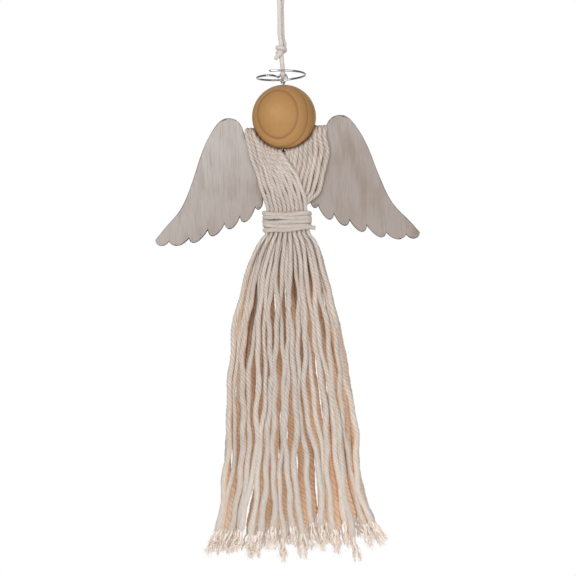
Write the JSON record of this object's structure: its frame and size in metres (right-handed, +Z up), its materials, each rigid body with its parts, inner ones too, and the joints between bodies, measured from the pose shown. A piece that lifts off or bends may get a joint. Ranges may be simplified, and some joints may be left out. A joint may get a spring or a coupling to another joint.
{
  "type": "tassel angel ornament",
  "caption": "Hanging angel with a plain wooden ball head, wire halo, flat plywood wings, a crossed cord bodice, a bound waist and a long frayed cord skirt.",
  "frame": {"origin": "where a hook bears, inside the top of the hanging loop", "axes": "+Z up along the hanging cord, -Y towards the angel's front, +X towards the right wing as seen from the front"},
  "size_m": [0.1654, 0.0404, 0.3661],
  "materials": {
    "cotton": "twisted matte cotton cord",
    "hanging_cord": "twisted matte cotton cord",
    "wire": "bright drawn wire",
    "head_wood": "satin varnish",
    "wing_wood": "whitewashed plywood"
  },
  "bodies": {
    "hanger": {"hanging_loop": "hanging_cord", "hanging_knot": "hanging_cord", "hanging_bight": "hanging_cord"},
    "halo": {"halo_wire": "wire"},
    "head": {"head_ball": "head_wood"},
    "figure": {"wing_panel": "wing_wood", "waist_wrap": "cotton", "left_cord_1": "cotton", "left_cord_2": "cotton", "left_cord_3": "cotton", "left_cord_4": "cotton", "left_cord_5": "cotton", "left_cord_6": "cotton", "left_cord_7": "cotton", "left_cord_8": "cotton", "left_cord_9": "cotton", "left_cord_10": "cotton", "right_cord_1": "cotton", "right_cord_2": "cotton", "right_cord_3": "cotton", "right_cord_4": "cotton", "right_cord_5": "cotton", "right_cord_6": "cotton", "right_cord_7": "cotton", "right_cord_8": "cotton", "right_cord_9": "cotton"}
  },
  "joints": [
    {"name": "hanger_swing", "type": "hinge", "parent": "hanger", "child": "halo", "pos_m": [0, 0, -0.0703], "axis": [0, 1, 0], "range_deg": [-40, 40]},
    {"name": "head_turn", "type": "hinge", "parent": "halo", "child": "head", "pos_m": [0, 0, -0.095], "axis": [0, 0, 1], "continuous": true},
    {"name": "figure_nod", "type": "hinge", "parent": "halo", "child": "figure", "pos_m": [0, 0, -0.1221], "axis": [1, 0, 0], "range_deg": [-6, 6]}
  ]
}
